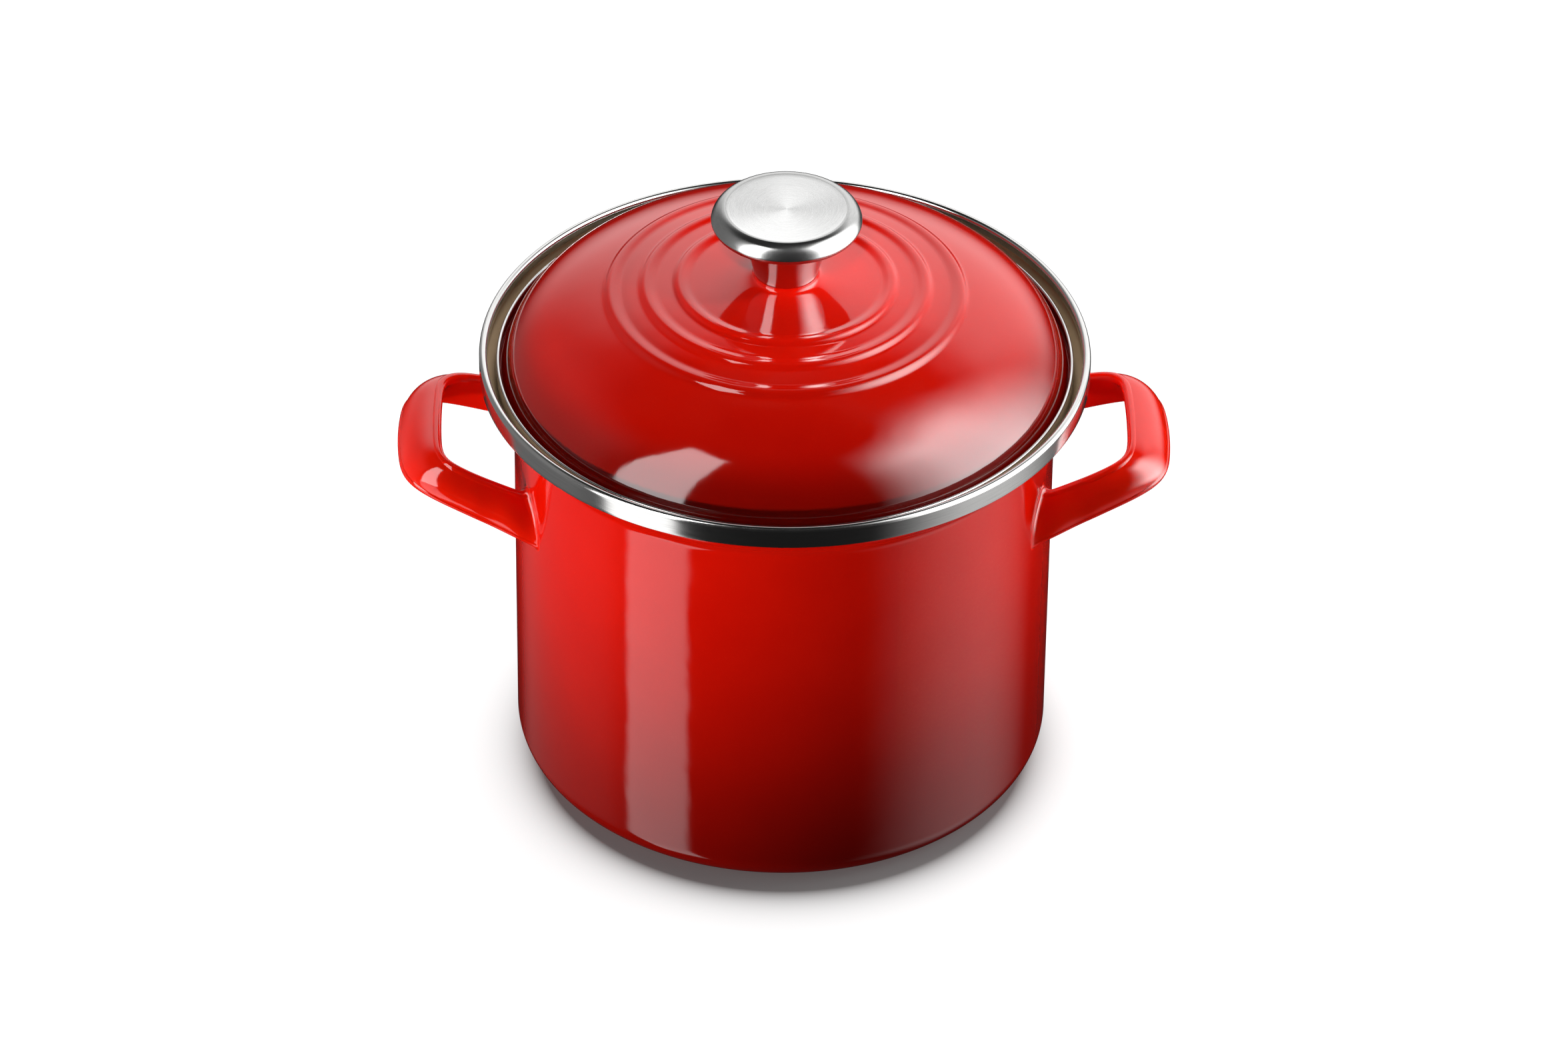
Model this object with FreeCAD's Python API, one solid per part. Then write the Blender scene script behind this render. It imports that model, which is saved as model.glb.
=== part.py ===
import FreeCAD, Part
import math
import os

# Stock pot with a lift-off lid. Millimetres, +Z up, origin at the centre of the flat base.

V = FreeCAD.Vector
AXIS_BASE = V(0, 0, 0)
AXIS_DIR = V(0, 0, 1)

# Pot body, drawn steel sheet with enamel
POT_R = 103.0
POT_WALL = 1.6
BASE_CORNER_R = 12.0
FLARE_Z = 155.5
FLARE_IN_R = 8.0
FLARE_OUT_R = 5.0
FLARE_ANGLE = math.radians(45.0)
LIP_R = 115.3
LIP_TOP_Z = 177.1

# Steel band on the pot's mouth
BAND_R = 115.9
BAND_ROLL_R = 1.5
BAND_ROLL_Z = 177.55
BAND_BOTTOM_Z = 170.7
BAND_INNER_Z = 174.8

# Lid sheet
LID_SHEET = 1.3
DOME_R = 104.3
DOME_Z = 178.0
DOME_H = 33.0
DOME_N = 2.86
DOME_M = 1.58
RING_CRESTS = [40.2, 53.2, 66.6]
RING_IN = 4.6
RING_OUT = 2.6
RING_H = 1.25
BOSS_R = 12.3
BOSS_Z = 214.4
FLARE_W = 20.0
FLARE_N = 3.0
SCREW_HOLE_R = 2.75
LID_FACES = 14
SHOULDER_R = 97.0
EDGE_R = 107.4
EDGE_Z = 172.0
LIP_IN_R = 108.25
LIP_OUT_R = 109.05
LIP_Z = 174.6
GUTTER_Z = 169.9

# Steel band on the lid's edge
LID_BAND_R = 109.5
LID_BAND_TOP_Z = 175.5
LID_BAND_BOTTOM_Z = 168.3

# Knob
STEM_R0 = 12.1
STEM_MID_R = 14.2
STEM_MID_Z = 222.5
STEM_R1 = 18.5
STEM_TOP_Z = 235.0
HEAD_R = 28.4
HEAD_WIDE_Z = 238.0
HEAD_DISC_R = 22.8
HEAD_TOP_Z = 243.1
DISC_DISH = 0.7
SCREW_R = 2.5
SCREW_HEAD_R = 5.0
SCREW_HEAD_H = 3.4
SCREW_TOP_Z = 228.0
WASHER_R = 8.0
WASHER_T = 1.2

# Handle strip: outer face between a lower and an upper edge curve, half loop as control points
HANDLE_T = 4.2
HANDLE_CROWN = 2.1
HANDLE_LOW = [(92.2, 44.6), (109.9, 38.4), (143.4, 35.8), (148.1, 15.0)]
HANDLE_TOP = [(94.2, 36.7), (112.8, 35.9), (130.7, 32.2), (132.5, 15.3)]
HANDLE_LOW_Z = 119.0
HANDLE_LOW_RISE = 0.41
HANDLE_TOP_Z = 136.85
HANDLE_TOP_RISE = 0.36
HANDLE_STATIONS = 33
WELD_R = 2.6


def p2(r, z):
    return V(r, 0, z)


def arc_c(cr, cz, radius, a0, a1):
    """Arc in the XZ half plane about (cr, cz), angles in degrees from +X towards +Z."""
    am = 0.5 * (a0 + a1)
    pts = []
    for a in (a0, am, a1):
        t = math.radians(a)
        pts.append(p2(cr + radius * math.cos(t), cz + radius * math.sin(t)))
    return Part.Arc(pts[0], pts[1], pts[2]).toShape()


def seg(a, b):
    return Part.LineSegment(a, b).toShape()


def ends(edge):
    return edge.valueAt(edge.FirstParameter), edge.valueAt(edge.LastParameter)


def chain(items):
    """Join edges and points, in order, into one closed wire with straight links."""
    edges = []
    first = None
    last = None
    for item in items:
        if isinstance(item, FreeCAD.Vector):
            a, b = item, item
        else:
            a, b = ends(item)
        if last is not None and (a - last).Length > 1e-6:
            edges.append(seg(last, a))
        if not isinstance(item, FreeCAD.Vector):
            edges.append(item)
        if first is None:
            first = a
        last = b
    if (first - last).Length > 1e-6:
        edges.append(seg(last, first))
    return Part.Wire(edges)


def turn(items):
    return Part.Face(chain(items)).revolve(AXIS_BASE, AXIS_DIR, 360)


def spline(points, pieces):
    """One smooth curve through the points, cut into short edges."""
    whole = Part.BSplineCurve()
    whole.interpolate(points)
    lo = whole.FirstParameter
    step = (whole.LastParameter - lo) / pieces
    edges = []
    for i in range(pieces):
        piece = whole.copy()
        piece.segment(lo + step * i, lo + step * (i + 1))
        edges.append(piece.toShape())
    return edges


def pot_shell():
    t = POT_WALL
    out_cr = POT_R + FLARE_IN_R
    lip_cr = LIP_R - FLARE_OUT_R
    s = math.sin(FLARE_ANGLE)
    c = math.cos(FLARE_ANGLE)
    cone_r0 = out_cr - FLARE_IN_R * c
    cone_z0 = FLARE_Z + FLARE_IN_R * s
    cone_r1 = lip_cr + FLARE_OUT_R * c
    lip_cz = cone_z0 + (cone_r1 - cone_r0) + FLARE_OUT_R * s
    k = BASE_CORNER_R
    items = [
        p2(0, 0),
        arc_c(POT_R - k, k, k, -90, 0),
        arc_c(out_cr, FLARE_Z, FLARE_IN_R, 180, 135),
        arc_c(lip_cr, lip_cz, FLARE_OUT_R, -45, 0),
        p2(LIP_R, LIP_TOP_Z),
        p2(LIP_R - t, LIP_TOP_Z),
        arc_c(lip_cr, lip_cz, FLARE_OUT_R - t, 0, -45),
        arc_c(out_cr, FLARE_Z, FLARE_IN_R + t, 135, 180),
        arc_c(POT_R - k, k, k - t, 0, -90),
        p2(0, t),
    ]
    return turn(items)


def pot_rim_band():
    rc = BAND_R - BAND_ROLL_R
    inner = rc - BAND_ROLL_R
    leg = LIP_R - POT_WALL
    e = 0.25
    items = [
        p2(LIP_R, BAND_BOTTOM_Z),
        arc_c(BAND_R - e, BAND_BOTTOM_Z + e, e, -90, 0),
        arc_c(rc, BAND_ROLL_Z, BAND_ROLL_R, 0, 90),
        arc_c(rc, BAND_ROLL_Z, BAND_ROLL_R, 90, 180),
        arc_c(inner + e, BAND_INNER_Z + e, e, 180, 270),
        p2(leg, BAND_INNER_Z),
        p2(leg, LIP_TOP_Z),
        p2(LIP_R, LIP_TOP_Z),
    ]
    return turn(items)


def ring_bump(r):
    h = 0.0
    for crest in RING_CRESTS:
        d = r - crest
        span = RING_OUT if d > 0 else RING_IN
        u = abs(d) / span
        if u < 1.0:
            h += RING_H * (1.0 - u * u) ** 2
    return h


def dome(r):
    return DOME_Z + DOME_H * max(0.0, 1.0 - (r / DOME_R) ** DOME_N) ** (1.0 / DOME_M)


def shoulder_circle():
    """Circle that leaves the dome smoothly at the shoulder and ends on the lid's edge."""
    z0 = dome(SHOULDER_R)
    slope = math.atan2(dome(SHOULDER_R - 0.01) - z0, 0.01)
    chord = math.atan2(z0 - EDGE_Z, EDGE_R - SHOULDER_R)
    length = math.hypot(z0 - EDGE_Z, EDGE_R - SHOULDER_R)
    radius = 0.5 * length / math.sin(chord - slope)
    return SHOULDER_R - radius * math.sin(slope), z0 - radius * math.cos(slope), radius


def lid_top(r):
    """Height of the lid's outer face at radius r: dome, raised rings and the flare under the knob."""
    if r > SHOULDER_R:
        cr, cz, radius = shoulder_circle()
        return cz + math.sqrt(radius * radius - (r - cr) ** 2)
    z = dome(r) + ring_bump(r)
    out = (r - BOSS_R) / FLARE_W
    if out < 1.0:
        left = 1.0 - max(out, 0.0)
        z += (BOSS_Z - dome(BOSS_R)) * (1.0 - (1.0 - left ** FLARE_N) ** (1.0 / FLARE_N))
    return z


def dome_radii():
    radii = []
    r = BOSS_R + FLARE_W + 1.2
    while r < SHOULDER_R - 0.5:
        radii.append(r)
        r += 1.3
    for i in range(11):
        radii.append(SHOULDER_R + (EDGE_R - SHOULDER_R) * i / 10.0)
    return radii


def boss_points():
    """Concave flare from the knob's seat down to the crown."""
    pts = []
    for i in range(15):
        a = math.radians(88.0 * i / 14.0)
        r = BOSS_R + FLARE_W * (1.0 - math.cos(a) ** (2.0 / FLARE_N))
        pts.append((r, lid_top(r)))
    return pts


def offset_points(pts, dist):
    out = []
    n = len(pts)
    for i in range(n):
        a = pts[max(i - 1, 0)]
        b = pts[min(i + 1, n - 1)]
        dr = b[0] - a[0]
        dz = b[1] - a[1]
        length = math.hypot(dr, dz)
        out.append((pts[i][0] + dz / length * dist, pts[i][1] - dr / length * dist))
    return out


def lid_shell():
    t = LID_SHEET
    top = boss_points()
    for r in dome_radii():
        top.append((r, lid_top(r)))
    low = offset_points(top, t)
    low = [q for q in low if q[1] < BOSS_Z - t - 0.2]
    top_curve = spline([p2(a, b) for a, b in top], LID_FACES)
    low_curve = spline([p2(a, b) for a, b in reversed(low)], LID_FACES)
    gut = 0.5 * (EDGE_R + LIP_IN_R)
    gut_r = 0.5 * (LIP_IN_R - EDGE_R)
    wall_in = EDGE_R - t
    items = [
        p2(SCREW_HOLE_R, BOSS_Z - t),
        p2(SCREW_HOLE_R, BOSS_Z),
    ] + top_curve + [
        arc_c(gut, GUTTER_Z + gut_r, gut_r, 180, 360),
        p2(LIP_IN_R, LIP_Z),
        p2(LIP_OUT_R, LIP_Z),
        arc_c(LIP_OUT_R - 1.2, GUTTER_Z + 0.2, 1.2, 0, -90),
        arc_c(wall_in + 1.2, GUTTER_Z + 0.2, 1.2, -90, -180),
    ] + low_curve + [
        p2(BOSS_R - t, BOSS_Z - t),
    ]
    return turn(items)


def lid_rim_band():
    roll = 0.5 * (LID_BAND_R - (LIP_IN_R - 0.2))
    rc = LID_BAND_R - roll
    zc = LID_BAND_TOP_Z - roll
    e = 0.2
    items = [
        p2(LIP_OUT_R, LID_BAND_BOTTOM_Z),
        arc_c(LID_BAND_R - e, LID_BAND_BOTTOM_Z + e, e, -90, 0),
        arc_c(rc, zc, roll, 0, 90),
        arc_c(rc, zc, roll, 90, 180),
        p2(rc - roll, LIP_Z - 1.6),
        p2(LIP_IN_R, LIP_Z - 1.6),
        p2(LIP_IN_R, LIP_Z),
        p2(LIP_OUT_R, LIP_Z),
    ]
    return turn(items)


def knob_stem():
    e = 0.4
    hole = SCREW_R + 0.05
    items = [
        p2(hole, BOSS_Z),
        p2(STEM_R0 - e, BOSS_Z),
        Part.Arc(p2(STEM_R0, BOSS_Z + e), p2(STEM_MID_R, STEM_MID_Z), p2(STEM_R1, STEM_TOP_Z)).toShape(),
        p2(0, STEM_TOP_Z),
        p2(0, SCREW_TOP_Z + 1.0),
        p2(hole, SCREW_TOP_Z + 1.0),
    ]
    return turn(items)


def knob_head():
    under = Part.Arc(p2(25.4, STEM_TOP_Z + 0.2), p2(27.7, 236.1), p2(HEAD_R, HEAD_WIDE_Z)).toShape()
    bevel = Part.Arc(p2(HEAD_R, HEAD_WIDE_Z), p2(26.9, 241.1), p2(HEAD_DISC_R + 0.5, HEAD_TOP_Z)).toShape()
    disc_r = HEAD_DISC_R - 0.3
    drop = DISC_DISH - 0.12
    ball_r = (disc_r * disc_r + drop * drop) / (2.0 * drop)
    z0 = HEAD_TOP_Z - DISC_DISH
    half_z = z0 + ball_r - math.sqrt(ball_r * ball_r - 0.25 * disc_r * disc_r)
    dish = Part.Arc(p2(disc_r, z0 + drop), p2(0.5 * disc_r, half_z), p2(0, z0)).toShape()
    items = [p2(0, STEM_TOP_Z), p2(STEM_R1 + 2.0, STEM_TOP_Z), under, bevel, dish]
    return turn(items)


def knob_washer():
    z1 = BOSS_Z - LID_SHEET
    items = [
        p2(SCREW_HOLE_R, z1 - WASHER_T),
        p2(WASHER_R, z1 - WASHER_T),
        p2(WASHER_R, z1),
        p2(SCREW_HOLE_R, z1),
    ]
    return turn(items)


def knob_screw():
    z1 = BOSS_Z - LID_SHEET - WASHER_T
    z0 = z1 - SCREW_HEAD_H
    e = 1.1
    items = [
        p2(0, z0),
        arc_c(SCREW_HEAD_R - e, z0 + e, e, -90, 0),
        p2(SCREW_HEAD_R, z1),
        p2(SCREW_R, z1),
        p2(SCREW_R, SCREW_TOP_Z - 0.8),
        p2(SCREW_R - 0.8, SCREW_TOP_Z),
        p2(0, SCREW_TOP_Z),
    ]
    body = turn(items)
    long_slot = Part.makeBox(6.4, 1.2, 1.8, V(-3.2, -0.6, z0 - 0.1))
    cross_slot = Part.makeBox(1.2, 6.4, 1.8, V(-0.6, -3.2, z0 - 0.1))
    return body.cut(long_slot.fuse(cross_slot))


def edge_curve(half, z0, rise):
    poles = []
    for x, y in half:
        poles.append(V(x, y, z0 + rise * (x - 100.0)))
    for x, y in reversed(half):
        poles.append(V(x, -y, z0 + rise * (x - 100.0)))
    knots = [i / 5.0 for i in range(6)]
    mults = [4, 1, 1, 1, 1, 4]
    curve = Part.BSplineCurve()
    curve.buildFromPolesMultsKnots(poles, mults, knots, False, 3)
    return curve


def strip_section(low, top, u):
    grow = 0.45
    b = low.value(u)
    t = top.value(u)
    across = (t - b).normalize()
    b = b - across * grow
    t = t + across * grow
    along = low.tangent(u)[0] + top.tangent(u)[0]
    inward = across.cross(along).normalize()
    if inward.dot(V(110.0, 0, inward.z) - b) < 0:
        inward = inward * -1.0
    h = 0.5 * HANDLE_T
    o0 = b + across * h
    o1 = t - across * h
    i0 = o0 + inward * HANDLE_T
    i1 = o1 + inward * HANDLE_T
    crest = 0.5 * (o0 + o1) - inward * HANDLE_CROWN
    return Part.Wire([
        Part.Arc(o0, crest, o1).toShape(),
        Part.Arc(o1, t + inward * h, i1).toShape(),
        Part.LineSegment(i1, i0).toShape(),
        Part.Arc(i0, b + inward * h, o0).toShape(),
    ])


def handle():
    low = edge_curve(HANDLE_LOW, HANDLE_LOW_Z, HANDLE_LOW_RISE)
    top = edge_curve(HANDLE_TOP, HANDLE_TOP_Z, HANDLE_TOP_RISE)
    wires = []
    for i in range(HANDLE_STATIONS):
        wires.append(strip_section(low, top, i / (HANDLE_STATIONS - 1.0)))
    strip = Part.makeLoft(wires, True, False)
    core = Part.makeCylinder(POT_R, 90.0, V(0, 0, 85.0))
    joined = core.fuse(strip)
    weld = []
    for edge in joined.Edges:
        step = (edge.LastParameter - edge.FirstParameter) / 6.0
        pts = [edge.valueAt(edge.FirstParameter + step * j) for j in range(7)]
        on_wall = all(abs(math.hypot(q.x, q.y) - POT_R) < 0.02 for q in pts)
        flat = max(q.z for q in pts) - min(q.z for q in pts) < 1e-3
        if on_wall and not flat and 90.0 < pts[0].z < 170.0 and pts[3].x > 50.0:
            weld.append(edge)
    print("weld edges", len(weld))
    welded = joined.makeFillet(WELD_R, weld)
    return welded.cut(Part.makeCylinder(POT_R, 94.0, V(0, 0, 83.0)))


def turned(shape, degrees):
    copy = shape.copy()
    copy.rotate(AXIS_BASE, AXIS_DIR, degrees)
    return copy


def main():
    os.makedirs("parts", exist_ok=True)
    right = handle()
    nodes = {
        "pot_shell": pot_shell(),
        "pot_rim_band": pot_rim_band(),
        "right_handle": right,
        "left_handle": turned(right, 180.0),
        "lid_shell": lid_shell(),
        "lid_rim_band": lid_rim_band(),
        "knob_stem": knob_stem(),
        "knob_head": knob_head(),
        "knob_washer": knob_washer(),
        "knob_screw": knob_screw(),
    }
    for name, shape in nodes.items():
        if shape.ShapeType != "Solid" and len(shape.Solids) == 1:
            shape = shape.Solids[0]
        box = shape.BoundBox
        print(name, shape.ShapeType, len(shape.Solids), shape.isValid(), round(shape.Volume / 1000.0, 2),
              [round(v, 2) for v in (box.XMin, box.XMax, box.YMin, box.YMax, box.ZMin, box.ZMax)])
        shape.exportStep("parts/" + name + ".step")


main()
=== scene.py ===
import math

import bpy
from mathutils import Matrix, Vector


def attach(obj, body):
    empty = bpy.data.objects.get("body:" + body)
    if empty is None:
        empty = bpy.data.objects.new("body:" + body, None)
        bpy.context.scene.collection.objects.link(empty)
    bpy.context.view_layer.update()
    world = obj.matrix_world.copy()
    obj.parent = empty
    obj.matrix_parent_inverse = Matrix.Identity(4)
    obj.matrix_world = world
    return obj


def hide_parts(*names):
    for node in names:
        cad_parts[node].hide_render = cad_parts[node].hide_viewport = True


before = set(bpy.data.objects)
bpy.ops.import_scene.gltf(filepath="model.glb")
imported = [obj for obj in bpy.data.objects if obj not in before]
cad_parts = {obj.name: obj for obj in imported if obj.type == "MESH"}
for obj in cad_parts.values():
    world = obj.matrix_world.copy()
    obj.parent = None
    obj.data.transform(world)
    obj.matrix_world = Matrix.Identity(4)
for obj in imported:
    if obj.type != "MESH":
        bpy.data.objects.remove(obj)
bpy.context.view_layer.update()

# Profiles are in millimetres, as in the CAD. Places of lamps and camera are in metres.
MM = 0.001
SAME_POINT = 1e-5
ON_AXIS = 1e-6
SEGMENTS, STEM_SEGMENTS, HEAD_SEGMENTS = 288, 160, 224
SHARP, HEAD_SHARP = 32.0, 40.0      # degrees between two faces from which their edge stays sharp


# ---------------------------------------------------------------- profiles and meshes

def arc(cr, cz, radius, a0, a1, steps):
    """Points on an arc in the (radius, height) plane, angles in degrees."""
    pts = []
    for i in range(steps + 1):
        a = math.radians(a0 + (a1 - a0) * i / steps)
        pts.append((cr + radius * math.cos(a), cz + radius * math.sin(a)))
    return pts


def arc3(p, q, s, steps):
    """Points on the arc through three (radius, height) points."""
    ax, ay = p
    bx, by = q
    cx, cy = s
    d = 2.0 * (ax * (by - cy) + bx * (cy - ay) + cx * (ay - by))
    a2 = ax * ax + ay * ay
    b2 = bx * bx + by * by
    c2 = cx * cx + cy * cy
    ux = (a2 * (by - cy) + b2 * (cy - ay) + c2 * (ay - by)) / d
    uy = (a2 * (cx - bx) + b2 * (ax - cx) + c2 * (bx - ax)) / d
    t0 = math.atan2(ay - uy, ax - ux)
    tm = math.atan2(by - uy, bx - ux)
    t1 = math.atan2(cy - uy, cx - ux)
    turn = 2.0 * math.pi
    if (tm - t0) % turn > (t1 - t0) % turn:
        sweep = -((t0 - t1) % turn)
    else:
        sweep = (t1 - t0) % turn
    radius = math.hypot(ax - ux, ay - uy)
    pts = []
    for i in range(steps + 1):
        t = t0 + sweep * i / steps
        pts.append((ux + radius * math.cos(t), uy + radius * math.sin(t)))
    return pts


def thin(points):
    """Drop points that repeat the one before them."""
    out = []
    for item in points:
        if not out or math.dist(item[:2], out[-1][:2]) > SAME_POINT:
            out.append(item)
    if math.dist(out[0][:2], out[-1][:2]) < SAME_POINT:
        out.pop()
    return out


def signed_volume(mesh):
    """Six times the mesh's volume, negative where its faces point inwards."""
    volume = 0.0
    for poly in mesh.polygons:
        vs = [mesh.vertices[j].co for j in poly.vertices]
        for j in range(1, len(vs) - 1):
            volume += vs[0].dot(vs[j].cross(vs[j + 1]))
    return volume


def turned(name, runs, segments=SEGMENTS, sharp=SHARP):
    """A closed profile, as runs of (points in mm, material index), turned about Z into a mesh."""
    ring = []
    for points, index in runs:
        for p in points:
            ring.append((p[0], p[1], index))
    ring = thin(ring)
    verts = []
    rows = []
    for r, z, index in ring:
        if r < ON_AXIS:
            rows.append([len(verts)] * segments)
            verts.append((0.0, 0.0, z * MM))
            continue
        rows.append(list(range(len(verts), len(verts) + segments)))
        for k in range(segments):
            a = 2.0 * math.pi * k / segments
            verts.append((r * MM * math.cos(a), r * MM * math.sin(a), z * MM))
    faces = []
    marks = []
    for i, a in enumerate(rows):
        b = rows[(i + 1) % len(rows)]
        if a[0] == a[1] and b[0] == b[1]:
            continue
        for k in range(segments):
            k1 = (k + 1) % segments
            if a[0] == a[1]:
                faces.append((a[0], b[k1], b[k]))
            elif b[0] == b[1]:
                faces.append((a[k], a[k1], b[0]))
            else:
                faces.append((a[k], a[k1], b[k1], b[k]))
            marks.append(ring[i][2])
    mesh = bpy.data.meshes.new(name)
    mesh.from_pydata(verts, [], faces)
    mesh.polygons.foreach_set("material_index", marks)
    mesh.polygons.foreach_set("use_smooth", [True] * len(faces))
    mesh.update()
    if signed_volume(mesh) < 0:
        mesh.flip_normals()
    mesh.set_sharp_from_angle(angle=math.radians(sharp))
    piece = bpy.data.objects.new(name, mesh)
    bpy.context.scene.collection.objects.link(piece)
    return piece


def dress(piece, materials, body, nodes):
    """Give a piece its materials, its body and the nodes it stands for."""
    for material in materials:
        piece.data.materials.append(material)
    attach(piece, body)
    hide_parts(*nodes)


def refinish(node_name, material):
    """Give a piece that keeps its CAD shape a new material."""
    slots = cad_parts[node_name].data.materials
    slots.clear()
    slots.append(material)


# ---------------------------------------------------------------- node building

class Graph:
    """Short calls for building a node tree."""

    def __init__(self, tree):
        self.tree = tree
        tree.nodes.clear()

    def node(self, kind):
        return self.tree.nodes.new(kind)

    def join(self, source, target):
        self.tree.links.new(source, target)

    def feed(self, socket, value):
        if isinstance(value, bpy.types.NodeSocket):
            self.join(value, socket)
        elif value is not None:
            socket.default_value = value

    def math(self, operation, a, b=None):
        made = self.node("ShaderNodeMath")
        made.operation = operation
        self.feed(made.inputs[0], a)
        self.feed(made.inputs[1], b)
        return made.outputs[0]

    def remap(self, value, lo, hi, to_lo, to_hi, smooth=False):
        made = self.node("ShaderNodeMapRange")
        made.clamp = True
        made.interpolation_type = "SMOOTHSTEP" if smooth else "LINEAR"
        self.feed(made.inputs["Value"], value)
        self.feed(made.inputs["From Min"], lo)
        self.feed(made.inputs["From Max"], hi)
        self.feed(made.inputs["To Min"], to_lo)
        self.feed(made.inputs["To Max"], to_hi)
        return made.outputs["Result"]

    def noise(self, vector, scale, detail, rough):
        made = self.node("ShaderNodeTexNoise")
        self.feed(made.inputs["Vector"], vector)
        self.feed(made.inputs["Scale"], scale)
        self.feed(made.inputs["Detail"], detail)
        self.feed(made.inputs["Roughness"], rough)
        return made.outputs["Fac"]

    def blend(self, factor, a, b):
        made = self.node("ShaderNodeMix")
        made.data_type = "RGBA"
        self.feed(made.inputs[0], factor)
        self.feed(made.inputs[6], a)
        self.feed(made.inputs[7], b)
        return made.outputs[2]

    def bump(self, height, strength, distance, normal=None):
        made = self.node("ShaderNodeBump")
        self.feed(made.inputs["Height"], height)
        self.feed(made.inputs["Strength"], strength)
        self.feed(made.inputs["Distance"], distance)
        self.feed(made.inputs["Normal"], normal)
        return made.outputs["Normal"]

    def combine(self, x, y, z):
        made = self.node("ShaderNodeCombineXYZ")
        for socket, value in zip(made.inputs, (x, y, z)):
            self.feed(socket, value)
        return made.outputs[0]

    def split(self, vector):
        made = self.node("ShaderNodeSeparateXYZ")
        self.join(vector, made.inputs[0])
        return made.outputs

    def reach(self, x, y):
        """Distance of (x, y) from the Z axis."""
        return self.math("SQRT", self.math("ADD", self.math("MULTIPLY", x, x), self.math("MULTIPLY", y, y)))


def colour(r, g, b):
    return (r, g, b, 1.0)


def new_material(name):
    material = bpy.data.materials.new(name)
    material.use_nodes = True
    graph = Graph(material.node_tree)
    shader = graph.node("ShaderNodeBsdfPrincipled")
    out = graph.node("ShaderNodeOutputMaterial")
    graph.join(shader.outputs[0], out.inputs["Surface"])
    where = graph.node("ShaderNodeTexCoord").outputs["Object"]
    return material, graph, shader, where


# ---------------------------------------------------------------- enamel

# Noises as (scale, detail, roughness). Bumps as (strength, height in metres).
MOTTLE, MOTTLE_RANGE = (26.0, 3.0, 0.55), (0.32, 0.68)
FLECKS, FLECK_RANGE, FLECK_SHOW = (1500.0, 1.0, 0.5), (0.66, 0.78), 0.35
WIPES, WIPE_RANGE, WIPE_ROUGH = (60.0, 4.0, 0.6), (0.35, 0.75), 0.05
WAVES, WAVE_BUMP = (42.0, 2.0, 0.45), (0.16, 0.0012)
PEEL, PEEL_BUMP = (420.0, 1.5, 0.5), (0.05, 0.00012)
ENAMEL_IOR = 1.52
# Painted shade: how dark the shaded colour is, as a share of the deep colour
PAINTED_SHADE_TINT = 0.2

RED_DEEP = (0.60, 0.0042, 0.0004)
RED_BRIGHT = (0.64, 0.0052, 0.0005)
RED_FLECK = (0.72, 0.016, 0.002)
# Painted light: the handles' reds are lighter copies of the pot's red, for the light that falls on the
# handles.
HANDLE_LIT_DEEP = (0.76, 0.0075, 0.0006)
HANDLE_LIT_BRIGHT = (0.82, 0.0095, 0.0007)
SAND_DEEP = (0.42, 0.29, 0.17)
SAND_BRIGHT = (0.50, 0.36, 0.22)
SAND_FLECK = (0.30, 0.20, 0.12)

POT_ROUGH, LID_ROUGH, HANDLE_ROUGH, SAND_ROUGH = 0.045, 0.04, 0.05, 0.09
# Painted shade: the lid's red is darkened towards its rim between these radii, in metres, by this share
LID_PAINTED_SHADE_FROM, LID_PAINTED_SHADE_TO, LID_PAINTED_SHADE = 0.088, 0.107, 0.66


def enamel(name, deep, bright, speck, rough, painted_shade=None):
    """Gloss vitreous enamel: faint mottling and specks in the colour, soft waves and fine orange peel.

    The last argument, as (from radius, to radius, share), darkens the colour outwards as painted shade.
    """
    material, g, shader, where = new_material(name)
    mottle = g.remap(g.noise(where, *MOTTLE), *MOTTLE_RANGE, 0.0, 1.0)
    base = g.blend(mottle, colour(*deep), colour(*bright))
    flecks = g.remap(g.noise(where, *FLECKS), *FLECK_RANGE, 0.0, FLECK_SHOW)
    base = g.blend(flecks, base, colour(*speck))
    # Painted shade: the colour darkens from the inner to the outer radius.
    if painted_shade:
        start, end, share = painted_shade
        x, y, _ = g.split(where)
        amount = g.remap(g.reach(x, y), start, end, 0.0, share, True)
        base = g.blend(amount, base, colour(*[c * PAINTED_SHADE_TINT for c in deep]))
    g.join(base, shader.inputs["Base Color"])
    wiped = g.remap(g.noise(where, *WIPES), *WIPE_RANGE, rough, rough + WIPE_ROUGH)
    g.join(wiped, shader.inputs["Roughness"])
    shader.inputs["IOR"].default_value = ENAMEL_IOR
    waves = g.bump(g.noise(where, *WAVES), *WAVE_BUMP)
    g.join(g.bump(g.noise(where, *PEEL), *PEEL_BUMP, waves), shader.inputs["Normal"])
    return material


red_pot = enamel("pot_red", RED_DEEP, RED_BRIGHT, RED_FLECK, POT_ROUGH)
red_lid = enamel("lid_red", RED_DEEP, RED_BRIGHT, RED_FLECK, LID_ROUGH,
                 (LID_PAINTED_SHADE_FROM, LID_PAINTED_SHADE_TO, LID_PAINTED_SHADE))
# Painted light: the handles get a lighter copy of the pot's red.
lit_red_handle = enamel("handle_red_painted_light", HANDLE_LIT_DEEP, HANDLE_LIT_BRIGHT, RED_FLECK, HANDLE_ROUGH)
sand = enamel("sand_inside", SAND_DEEP, SAND_BRIGHT, SAND_FLECK, SAND_ROUGH)


# ---------------------------------------------------------------- steel

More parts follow.
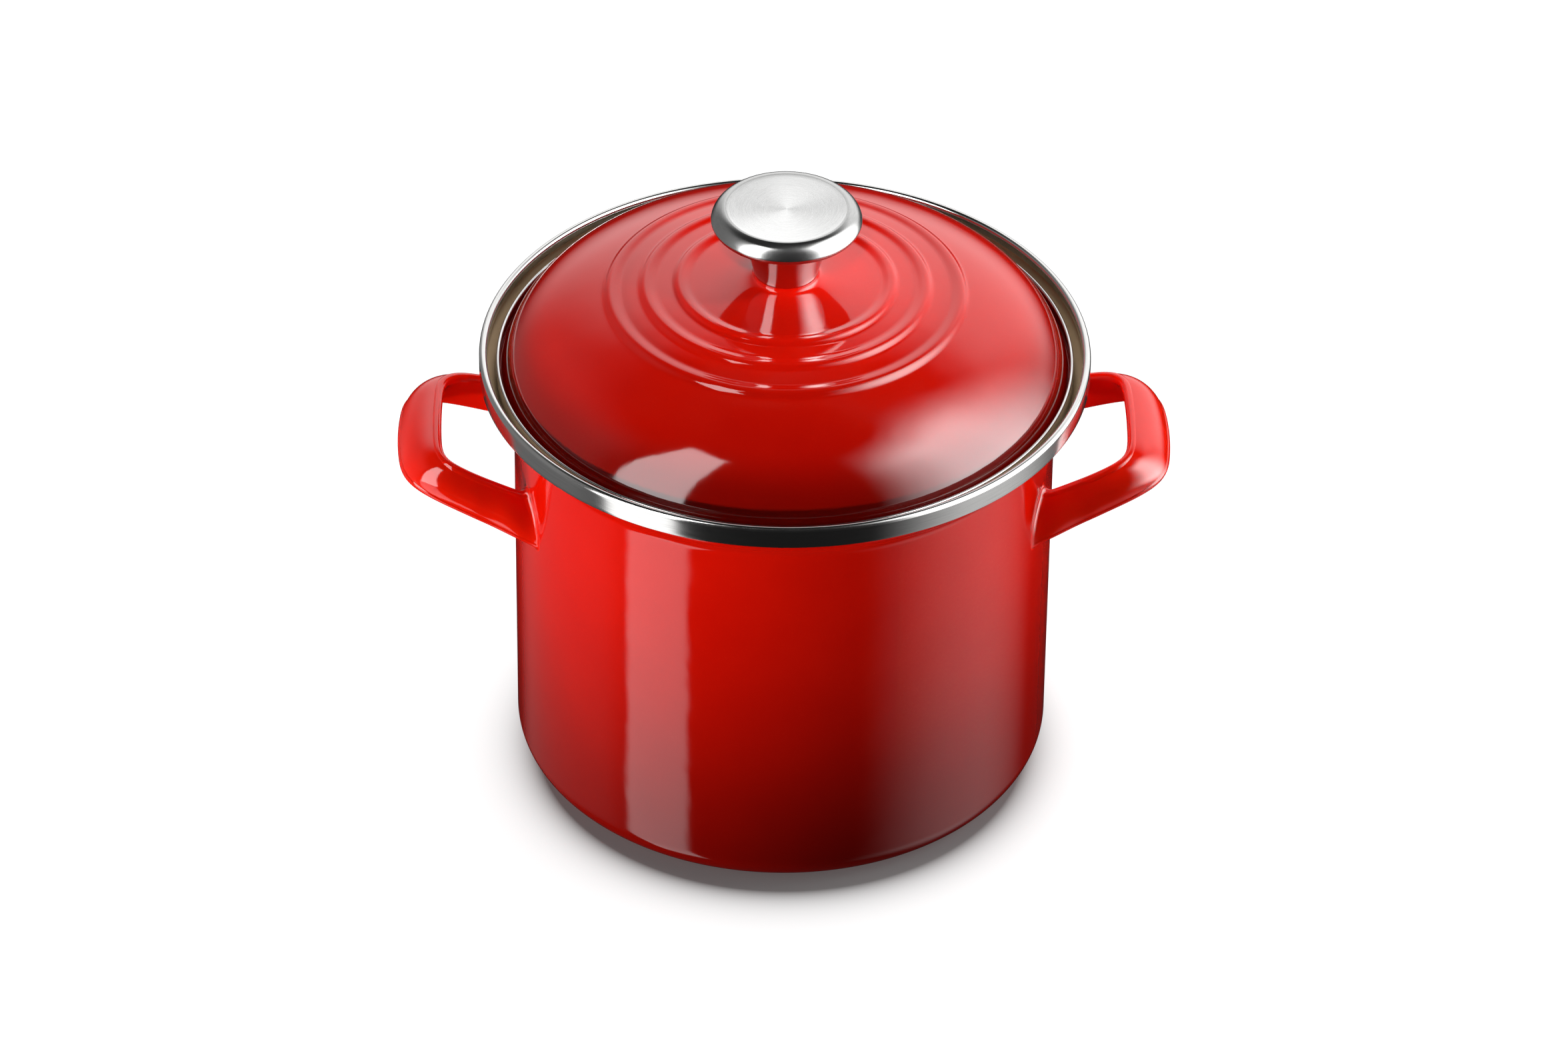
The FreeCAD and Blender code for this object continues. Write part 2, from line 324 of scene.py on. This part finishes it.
# Long and short turned lines: how often they change round the axis, how fine they are, share, noise
LONG_ROUND, LONG_FINE, LONG_SHARE, LONG_NOISE = 2.5, 1.0, 0.6, (1.0, 3.0, 0.7)
SHORT_ROUND, SHORT_FINE, SHORT_SHARE, SHORT_NOISE = 14.0, 1.7, 0.4, (1.0, 2.0, 0.6)
LINE_RISE = 0.7            # share of the height that counts along the profile
LINE_DARK, LINE_DARK_RANGE = 0.86, (0.35, 0.65)
LINE_ROUGH, LINE_ROUGH_RANGE = 0.06, (0.3, 0.7)
LINE_BUMP = (0.10, 0.00006)
AXIS_CORE = 0.0004         # least radius in metres, so that nothing is divided by zero on the axis


def steel(name, tint, rough, aniso, grain):
    """Turned or rolled stainless steel with fine lines round the axis."""
    material, g, shader, where = new_material(name)
    x, y, z = g.split(where)
    r = g.reach(x, y)
    r_safe = g.math("MAXIMUM", r, AXIS_CORE)
    cx = g.math("DIVIDE", x, r_safe)
    cy = g.math("DIVIDE", y, r_safe)
    across = g.math("ADD", r, g.math("MULTIPLY", z, LINE_RISE))

    def lines(round_scale, fine, noise, share):
        place = g.combine(g.math("MULTIPLY", cx, round_scale), g.math("MULTIPLY", cy, round_scale),
                          g.math("MULTIPLY", across, grain * fine))
        return g.math("MULTIPLY", g.noise(place, *noise), share)

    mix = g.math("ADD", lines(LONG_ROUND, LONG_FINE, LONG_NOISE, LONG_SHARE),
                 lines(SHORT_ROUND, SHORT_FINE, SHORT_NOISE, SHORT_SHARE))
    dark = [c * LINE_DARK for c in tint]
    base = g.blend(g.remap(mix, *LINE_DARK_RANGE, 0.0, 1.0), colour(*dark), colour(*tint))
    g.join(base, shader.inputs["Base Color"])
    g.join(g.remap(mix, *LINE_ROUGH_RANGE, rough + LINE_ROUGH, rough), shader.inputs["Roughness"])
    shader.inputs["Metallic"].default_value = 1.0
    shader.inputs["Anisotropic"].default_value = aniso
    tangent = g.node("ShaderNodeTangent")
    tangent.direction_type = "RADIAL"
    tangent.axis = "Z"
    g.join(tangent.outputs[0], shader.inputs["Tangent"])
    g.join(g.bump(mix, *LINE_BUMP), shader.inputs["Normal"])
    return material


# name, tint, roughness, anisotropy, and grain as noise cells per metre
band_steel = steel("band_steel", (0.66, 0.655, 0.645), 0.10, 0.35, 2600.0)
disc_steel = steel("disc_steel", (0.72, 0.72, 0.715), 0.24, 0.75, 3800.0)
# Painted shade: the bevel's tint is darker than the disc's, though the head is one steel.
shaded_bevel_steel = steel("shaded_bevel_steel", (0.46, 0.46, 0.455), 0.17, 0.6, 3000.0)
stem_steel = steel("stem_steel", (0.62, 0.62, 0.62), 0.08, 0.3, 2400.0)
fixing_steel = steel("fixing_steel", (0.52, 0.52, 0.53), 0.22, 0.2, 2000.0)


# ---------------------------------------------------------------- pot

POT_R, POT_WALL, BASE_CORNER_R = 103.0, 1.6, 12.0
BASE_ROWS = (0.0, 30.0, 60.0)
WALL_STEP, WALL_ROWS = 13.0, 10
FLARE_Z, FLARE_IN_R, FLARE_OUT_R = 155.5, 8.0, 5.0
FLARE_ANGLE = math.radians(45.0)
LIP_R, LIP_TOP_Z = 115.3, 177.1
BAND_R, BAND_ROLL_R, BAND_ROLL_Z = 115.9, 1.5, 177.55
BAND_BOTTOM_Z, BAND_INNER_Z, BAND_CORNER_R = 170.7, 174.8, 0.25
BAND_ROWS = (172.0, 174.5, 176.5)


def pot_runs():
    t = POT_WALL
    out_cr = POT_R + FLARE_IN_R
    lip_cr = LIP_R - FLARE_OUT_R
    s = math.sin(FLARE_ANGLE)
    c = math.cos(FLARE_ANGLE)
    cone_r0 = out_cr - FLARE_IN_R * c
    cone_z0 = FLARE_Z + FLARE_IN_R * s
    lip_cz = cone_z0 + (lip_cr + FLARE_OUT_R * c - cone_r0) + FLARE_OUT_R * s
    k = BASE_CORNER_R
    rows = [k + i * WALL_STEP for i in range(1, WALL_ROWS + 1)]
    outside = [(r, 0) for r in BASE_ROWS]
    outside += arc(POT_R - k, k, k, -90, 0, 24)
    outside += [(POT_R, z) for z in rows]
    outside += arc(out_cr, FLARE_Z, FLARE_IN_R, 180, 135, 16)
    outside += arc(lip_cr, lip_cz, FLARE_OUT_R, -45, 0, 12)
    outside += [(LIP_R, LIP_TOP_Z)]
    inside = [(LIP_R - t, LIP_TOP_Z)]
    inside += arc(lip_cr, lip_cz, FLARE_OUT_R - t, 0, -45, 12)
    inside += arc(out_cr, FLARE_Z, FLARE_IN_R + t, 135, 180, 16)
    inside += [(POT_R - t, z) for z in reversed(rows)]
    inside += arc(POT_R - k, k, k - t, 0, -90, 20)
    inside += [(r, t) for r in reversed(BASE_ROWS)]
    return [(outside, 0), (inside, 1)]


def band_runs():
    rc = BAND_R - BAND_ROLL_R
    inner = rc - BAND_ROLL_R
    leg = LIP_R - POT_WALL
    e = BAND_CORNER_R
    pts = [(LIP_R, BAND_BOTTOM_Z)]
    pts += arc(BAND_R - e, BAND_BOTTOM_Z + e, e, -90, 0, 6)
    pts += [(BAND_R, z) for z in BAND_ROWS]
    pts += arc(rc, BAND_ROLL_Z, BAND_ROLL_R, 0, 180, 28)
    pts += arc(inner + e, BAND_INNER_Z + e, e, 180, 270, 6)
    pts += [(leg, BAND_INNER_Z), (leg, LIP_TOP_Z), (LIP_R, LIP_TOP_Z)]
    return [(pts, 0)]


pot = turned("pot_body", pot_runs())
dress(pot, [red_pot, sand], "pot", ["pot_shell"])
rim = turned("pot_band", band_runs())
dress(rim, [band_steel], "pot", ["pot_rim_band"])
for node_name in ("left_handle", "right_handle"):
    refinish(node_name, lit_red_handle)


# ---------------------------------------------------------------- lid

LID_SHEET = 1.3
DOME_R, DOME_Z, DOME_H, DOME_N, DOME_M = 104.3, 178.0, 33.0, 2.86, 1.58
DOME_STEP = 0.8
RING_CRESTS = (40.2, 53.2, 66.6)
RING_IN, RING_OUT, RING_H = 4.6, 2.6, 1.25
BOSS_R, BOSS_Z, FLARE_W, FLARE_N = 12.3, 214.4, 20.0, 3.0
FLARE_STEPS, FLARE_SWEEP, FLARE_GAP = 30, 89.5, 0.5
SCREW_HOLE_R = 2.75
SHOULDER_R, EDGE_R, EDGE_Z, SHOULDER_STEPS = 97.0, 107.4, 172.0, 24
LIP_IN_R, LIP_OUT_R, LIP_Z, GUTTER_Z = 108.25, 109.05, 174.6, 169.9
UNDER_CORNER_R, UNDER_LIFT, BOSS_GAP = 1.2, 0.2, 0.2
LID_BAND_R, LID_BAND_TOP_Z, LID_BAND_BOTTOM_Z = 109.5, 175.5, 168.3
LID_BAND_CORNER_R, LID_BAND_LAP, LID_BAND_LEG = 0.2, 0.2, 1.6


def dome(r):
    return DOME_Z + DOME_H * max(0.0, 1.0 - (r / DOME_R) ** DOME_N) ** (1.0 / DOME_M)


def shoulder_circle():
    """Circle that leaves the dome smoothly at the shoulder and ends on the lid's edge."""
    z0 = dome(SHOULDER_R)
    slope = math.atan2(dome(SHOULDER_R - 0.01) - z0, 0.01)
    chord = math.atan2(z0 - EDGE_Z, EDGE_R - SHOULDER_R)
    length = math.hypot(z0 - EDGE_Z, EDGE_R - SHOULDER_R)
    radius = 0.5 * length / math.sin(chord - slope)
    return SHOULDER_R - radius * math.sin(slope), z0 - radius * math.cos(slope), radius


def lid_top(r):
    """Height of the lid's outer face at radius r: dome, raised rings and the flare under the knob."""
    if r > SHOULDER_R:
        cr, cz, radius = shoulder_circle()
        return cz + math.sqrt(radius * radius - (r - cr) ** 2)
    z = dome(r)
    out = (r - BOSS_R) / FLARE_W
    if out < 1.0:
        left = 1.0 - max(out, 0.0)
        z += (BOSS_Z - dome(BOSS_R)) * (1.0 - (1.0 - left ** FLARE_N) ** (1.0 / FLARE_N))
    for crest in RING_CRESTS:
        d = r - crest
        u = abs(d) / (RING_OUT if d > 0 else RING_IN)
        if u < 1.0:
            z += RING_H * (1.0 - u * u) ** 2
    return z


def lid_radii():
    """Radii of the outer face's points: close together on the flare and the shoulder."""
    radii = []
    for i in range(FLARE_STEPS + 1):
        out = 1.0 - math.cos(math.radians(FLARE_SWEEP * i / FLARE_STEPS)) ** (2.0 / FLARE_N)
        radii.append(BOSS_R + FLARE_W * out)
    r = radii[-1] + FLARE_GAP
    while r < SHOULDER_R:
        radii.append(r)
        r += DOME_STEP
    for i in range(SHOULDER_STEPS + 1):
        radii.append(SHOULDER_R + (EDGE_R - SHOULDER_R) * i / SHOULDER_STEPS)
    return radii


def offset(points, distance):
    """The same line moved sideways, towards the underside."""
    out = []
    last = len(points) - 1
    for i in range(last + 1):
        a = points[max(i - 1, 0)]
        b = points[min(i + 1, last)]
        dr = b[0] - a[0]
        dz = b[1] - a[1]
        length = math.hypot(dr, dz)
        out.append((points[i][0] + dz / length * distance, points[i][1] - dr / length * distance))
    return out


def lid_runs():
    t = LID_SHEET
    top = [(r, lid_top(r)) for r in lid_radii()]
    low = [q for q in offset(top, t) if q[1] < BOSS_Z - t - BOSS_GAP]
    under = [low[0]]
    for q in low[1:]:
        if q[0] > under[-1][0]:
            under.append(q)
    gut = 0.5 * (EDGE_R + LIP_IN_R)
    gut_r = 0.5 * (LIP_IN_R - EDGE_R)
    wall_in = EDGE_R - t
    k = UNDER_CORNER_R
    corner_z = GUTTER_Z + UNDER_LIFT
    outside = [(SCREW_HOLE_R, BOSS_Z - t), (SCREW_HOLE_R, BOSS_Z)] + top
    outside += arc(gut, GUTTER_Z + gut_r, gut_r, 180, 360, 14)
    outside += [(LIP_IN_R, LIP_Z)]
    inside = [(LIP_OUT_R, LIP_Z)]
    inside += arc(LIP_OUT_R - k, corner_z, k, 0, -90, 8)
    inside += arc(wall_in + k, corner_z, k, -90, -180, 8)
    inside += reversed(under)
    inside += [(BOSS_R - t, BOSS_Z - t)]
    return [(outside, 0), (inside, 1)]


def lid_band_runs():
    roll = 0.5 * (LID_BAND_R - (LIP_IN_R - LID_BAND_LAP))
    rc = LID_BAND_R - roll
    zc = LID_BAND_TOP_Z - roll
    leg_z = LIP_Z - LID_BAND_LEG
    e = LID_BAND_CORNER_R
    pts = [(LIP_OUT_R, LID_BAND_BOTTOM_Z)]
    pts += arc(LID_BAND_R - e, LID_BAND_BOTTOM_Z + e, e, -90, 0, 5)
    pts += arc(rc, zc, roll, 0, 180, 20)
    pts += [(rc - roll, leg_z), (LIP_IN_R, leg_z), (LIP_IN_R, LIP_Z), (LIP_OUT_R, LIP_Z)]
    return [(pts, 0)]


lid = turned("lid_dome", lid_runs())
dress(lid, [red_lid, sand], "lid", ["lid_shell"])
lid_edge = turned("lid_band", lid_band_runs())
dress(lid_edge, [band_steel], "lid", ["lid_rim_band"])


# ---------------------------------------------------------------- knob

STEM_R0, STEM_MID_R, STEM_MID_Z, STEM_R1, STEM_TOP_Z = 12.1, 14.2, 222.5, 18.5, 235.0
STEM_CORNER_R = 0.4
HEAD_R, HEAD_WIDE_Z, HEAD_DISC_R, HEAD_TOP_Z, DISC_DISH = 28.4, 238.0, 22.8, 243.1, 0.7
# The head's flat underside passes the stem by HEAD_SEAT, then rises from UNDER_R to the widest point. The
# bevel ends BEVEL_END outside the disc, and the dished disc starts DISC_INSET inside it, DISC_STEP lower.
HEAD_SEAT, UNDER_R, UNDER_RISE = 2.0, 25.4, 0.2
UNDER_MID, BEVEL_MID = (27.7, 236.1), (26.9, 241.1)
BEVEL_END, DISC_INSET, DISC_STEP, DISC_STEPS = 0.5, 0.3, 0.12, 12
SCREW_R, SCREW_TOP_Z, HOLE_PLAY, HOLE_SPARE = 2.5, 228.0, 0.05, 1.0


def stem_runs():
    e = STEM_CORNER_R
    hole = SCREW_R + HOLE_PLAY
    hole_z = SCREW_TOP_Z + HOLE_SPARE
    pts = [(hole, BOSS_Z), (STEM_R0 - e, BOSS_Z)]
    pts += arc(STEM_R0 - e, BOSS_Z + e, e, -90, 0, 5)
    pts += arc3((STEM_R0, BOSS_Z + e), (STEM_MID_R, STEM_MID_Z), (STEM_R1, STEM_TOP_Z), 24)
    pts += [(0, STEM_TOP_Z), (0, hole_z), (hole, hole_z)]
    return [(pts, 0)]


def head_runs():
    under = arc3((UNDER_R, STEM_TOP_Z + UNDER_RISE), UNDER_MID, (HEAD_R, HEAD_WIDE_Z), 14)
    bevel = arc3((HEAD_R, HEAD_WIDE_Z), BEVEL_MID, (HEAD_DISC_R + BEVEL_END, HEAD_TOP_Z), 20)
    disc_r = HEAD_DISC_R - DISC_INSET
    drop = DISC_DISH - DISC_STEP
    ball = (disc_r * disc_r + drop * drop) / (2.0 * drop)
    z0 = HEAD_TOP_Z - DISC_DISH
    dish = []
    for i in range(DISC_STEPS + 1):
        r = disc_r * (1.0 - i / DISC_STEPS)
        dish.append((r, z0 + ball - math.sqrt(ball * ball - r * r)))
    side = [(0, STEM_TOP_Z), (STEM_R1 + HEAD_SEAT, STEM_TOP_Z)] + under + bevel
    return [(side, 1), (dish, 0)]


stem = turned("knob_post", stem_runs(), STEM_SEGMENTS)
dress(stem, [stem_steel], "lid", ["knob_stem"])
head = turned("knob_cap", head_runs(), HEAD_SEGMENTS, HEAD_SHARP)
dress(head, [disc_steel, shaded_bevel_steel], "lid", ["knob_head"])
for node_name in ("knob_washer", "knob_screw"):
    refinish(node_name, fixing_steel)


# ---------------------------------------------------------------- floor

FLOOR_HALF, FLOOR_DROP, FLOOR_ROUGH = 6.0, 0.0002, 0.9
FLOOR_DARK, FLOOR_LIGHT, FLOOR_NOISE = 0.13, 0.15, (3.0, 2.0, 0.5)
# The floor glows, and its glow fades under the pot as the pot's soft shadow. The fade is round: how far its
# centre lies towards the camera, its radius, how fast it ends, in metres, and its depth.
SHADE_SHIFT, SHADE_R, SHADE_FADE, SHADE_DEPTH = 0.0105, 0.0955, 0.0090, 0.93


def floor_material():
    material, g, shader, where = new_material("floor_pale")
    cloud = g.noise(where, *FLOOR_NOISE)
    pale = g.blend(cloud, colour(*[FLOOR_DARK] * 3), colour(*[FLOOR_LIGHT] * 3))
    g.join(pale, shader.inputs["Base Color"])
    shader.inputs["Roughness"].default_value = FLOOR_ROUGH
    shader.inputs["Emission Color"].default_value = colour(1.0, 1.0, 1.0)
    x, y, _ = g.split(where)
    reach = g.reach(x, g.math("ADD", y, SHADE_SHIFT))
    fade = g.math("MINIMUM", g.math("DIVIDE", g.math("SUBTRACT", SHADE_R, reach), SHADE_FADE), 0.0)
    glow = g.math("SUBTRACT", 1.0, g.math("MULTIPLY", g.math("EXPONENT", fade), SHADE_DEPTH))
    g.join(glow, shader.inputs["Emission Strength"])
    return material


def make_floor():
    """A square that the camera sees, and that adds no light, reflection or shadow to the pot."""
    h = FLOOR_HALF
    mesh = bpy.data.meshes.new("floor")
    mesh.from_pydata([(-h, -h, 0), (h, -h, 0), (h, h, 0), (-h, h, 0)], [], [(0, 1, 2, 3)])
    mesh.materials.append(floor_material())
    made = bpy.data.objects.new("floor", mesh)
    bpy.context.scene.collection.objects.link(made)
    made.location.z = -FLOOR_DROP
    made.visible_glossy = False
    made.visible_diffuse = False
    made.visible_shadow = False
    return made


floor = make_floor()


# ---------------------------------------------------------------- studio

FRAME_TURN = 1.35      # degrees between the camera's heading and the handles' cross line

# Soft boxes, seen only in reflections. From the pot: azimuth limits and edge softness, elevation limits and
# edge softness, all in degrees, and strength. Azimuth 0 is the camera's side, and it grows to the right.
# The background node's own grey of 0.8 multiplies every strength, so the camera sees 1.25 as plain white.
BOXES = [
    (-67.0, -38.0, 1.0, -14.0, 65.0, 1.2, 8.5),
    (-70.0, -41.0, 2.0, -60.0, -12.0, 3.0, 2.2),
    (57.0, 113.0, 22.0, -22.0, 60.0, 12.0, 12.0),
    (57.0, 114.0, 24.0, -60.0, -5.0, 10.0, 0.9),
    (128.0, 205.0, 18.0, -3.0, 44.0, 10.0, 1.9),
    (-148.0, -76.0, 12.0, -40.0, 45.0, 14.0, 0.3),
]
BETWEEN_BOXES = 0.015
SEEN_BY_CAMERA = 1.25

# Lamps, which give only diffuse light, in degrees, metres and watts:
# azimuth, elevation, distance, aim height, width, height, power, spread
LAMPS = {
    "back_top_left": (-120.0, 65.0, 1.0, 0.20, 0.40, 0.40, 0.66, 120.0),
    "back_top_right": (120.0, 65.0, 1.0, 0.20, 0.40, 0.40, 1.03, 120.0),
    "back_top": (180.0, 65.0, 1.0, 0.20, 0.40, 0.40, 1.67, 120.0),
    "right_high": (90.0, 35.0, 1.2, 0.18, 0.45, 0.45, 1.02, 120.0),
    "back_high": (180.0, 35.0, 1.2, 0.18, 0.45, 0.45, 0.70, 120.0),
    "left_wash": (-60.0, 0.0, 1.0, 0.15, 0.35, 0.05, 0.13, 16.0),
    "right_wash": (70.0, 0.0, 1.0, 0.15, 0.35, 0.05, 0.08, 16.0),
    "right_rake": (110.0, 0.0, 1.0, 0.30, 0.35, 0.05, 0.27, 34.0),
    "left_bounce": (-75.0, -25.0, 1.0, 0.15, 0.35, 0.10, 0.17, 26.0),
    "front_bounce": (-25.0, -25.0, 1.0, 0.15, 0.35, 0.10, 0.03, 26.0),
    "right_bounce": (105.0, -25.0, 1.0, 0.15, 0.35, 0.10, 0.14, 26.0),
    "crown_front": (-5.0, 42.0, 1.0, 0.212, 0.05, 0.05, 0.009, 6.0),
    "crown_right": (65.0, 42.0, 1.0, 0.212, 0.05, 0.05, 0.006, 6.0),
}


def box_glow(g, azimuth, elevation, box):
    """Strength of one soft box in a direction."""
    az0, az1, az_soft, el0, el1, el_soft, strength = box
    wide = 0.5 * (az1 - az0)
    turn_by = g.math("SUBTRACT", azimuth, 0.5 * (az0 + az1))
    wrapped = g.math("SUBTRACT", g.math("FLOORED_MODULO", g.math("ADD", turn_by, 180.0), 360.0), 180.0)
    side = g.remap(g.math("ABSOLUTE", wrapped), wide - az_soft, wide + az_soft, 1.0, 0.0, True)
    high = 0.5 * (el1 - el0)
    off = g.math("ABSOLUTE", g.math("SUBTRACT", elevation, 0.5 * (el0 + el1)))
    rise = g.remap(off, high - el_soft, high + el_soft, 1.0, 0.0, True)
    return g.math("MULTIPLY", g.math("MULTIPLY", side, rise), strength)


def make_world():
    """Soft boxes in reflections, a plain pale background for the camera, and no diffuse light."""
    world = bpy.data.worlds.new("studio")
    bpy.context.scene.world = world
    world.use_nodes = True
    g = Graph(world.node_tree)
    back = g.node("ShaderNodeBackground")
    out = g.node("ShaderNodeOutputWorld")
    g.join(back.outputs[0], out.inputs["Surface"])
    x, y, z = g.split(g.node("ShaderNodeTexCoord").outputs["Generated"])
    heading = g.math("ARCTAN2", x, g.math("MULTIPLY", y, -1.0))
    azimuth = g.math("ADD", g.math("MULTIPLY", heading, 180.0 / math.pi), FRAME_TURN)
    elevation = g.math("MULTIPLY", g.math("ARCSINE", z), 180.0 / math.pi)
    total = BETWEEN_BOXES
    for box in BOXES:
        total = g.math("ADD", total, box_glow(g, azimuth, elevation, box))
    is_camera = g.node("ShaderNodeLightPath").outputs["Is Camera Ray"]
    reflected = g.math("MULTIPLY", g.math("SUBTRACT", 1.0, is_camera), total)
    seen = g.math("ADD", reflected, g.math("MULTIPLY", is_camera, SEEN_BY_CAMERA))
    g.join(seen, back.inputs["Strength"])
    world.cycles_visibility.diffuse = False


def soft_light(name, azimuth, elevation, distance, target_z, width, height, power, spread):
    """An area lamp at a bearing from the pot, aimed at a point on its axis."""
    lamp = bpy.data.lights.new(name, "AREA")
    lamp.shape = "RECTANGLE"
    lamp.size = width
    lamp.size_y = height
    lamp.energy = power
    lamp.spread = math.radians(spread)
    holder = bpy.data.objects.new(name, lamp)
    bpy.context.scene.collection.objects.link(holder)
    a = math.radians(azimuth - FRAME_TURN)
    e = math.radians(elevation)
    away = Vector((math.sin(a) * math.cos(e), -math.cos(a) * math.cos(e), math.sin(e)))
    holder.location = away * distance + Vector((0.0, 0.0, target_z))
    holder.rotation_mode = "QUATERNION"
    holder.rotation_quaternion = (-away).to_track_quat("-Z", "Y")
    holder.visible_glossy = False


make_world()
for lamp_name, settings in LAMPS.items():
    soft_light(lamp_name, *settings)


# ---------------------------------------------------------------- camera

CAMERA_LENS, SENSOR_WIDTH, CLIP_START, CLIP_END = 172.56, 36.0, 0.05, 50.0
CAMERA_PLACE = Vector((0.0004, -2.3251, 1.8234))
CAMERA_TILT = math.radians(36.604)
CAMERA_ROLL = math.radians(0.702)


def camera_pose():
    """Place and turn of a camera that looks down along +Y, rolled about its line of sight."""
    look = Vector((0.0, math.cos(CAMERA_TILT), -math.sin(CAMERA_TILT)))
    right = Vector((1.0, 0.0, 0.0))
    up = Vector((0.0, math.sin(CAMERA_TILT), math.cos(CAMERA_TILT)))
    right_rolled = right * math.cos(CAMERA_ROLL) + up * math.sin(CAMERA_ROLL)
    up_rolled = up * math.cos(CAMERA_ROLL) - right * math.sin(CAMERA_ROLL)
    pose = Matrix.Identity(4)
    for row in range(3):
        pose[row][0] = right_rolled[row]
        pose[row][1] = up_rolled[row]
        pose[row][2] = -look[row]
        pose[row][3] = CAMERA_PLACE[row]
    return pose


camera_data = bpy.data.cameras.new("camera")
camera_data.lens = CAMERA_LENS
camera_data.sensor_width = SENSOR_WIDTH
camera_data.clip_start = CLIP_START
camera_data.clip_end = CLIP_END
camera = bpy.data.objects.new("camera", camera_data)
bpy.context.scene.collection.objects.link(camera)
bpy.context.scene.camera = camera
camera.matrix_world = Matrix.Rotation(math.radians(-FRAME_TURN), 4, "Z") @ camera_pose()

view = bpy.context.scene.view_settings
view.view_transform = "Standard"
view.look = "None"
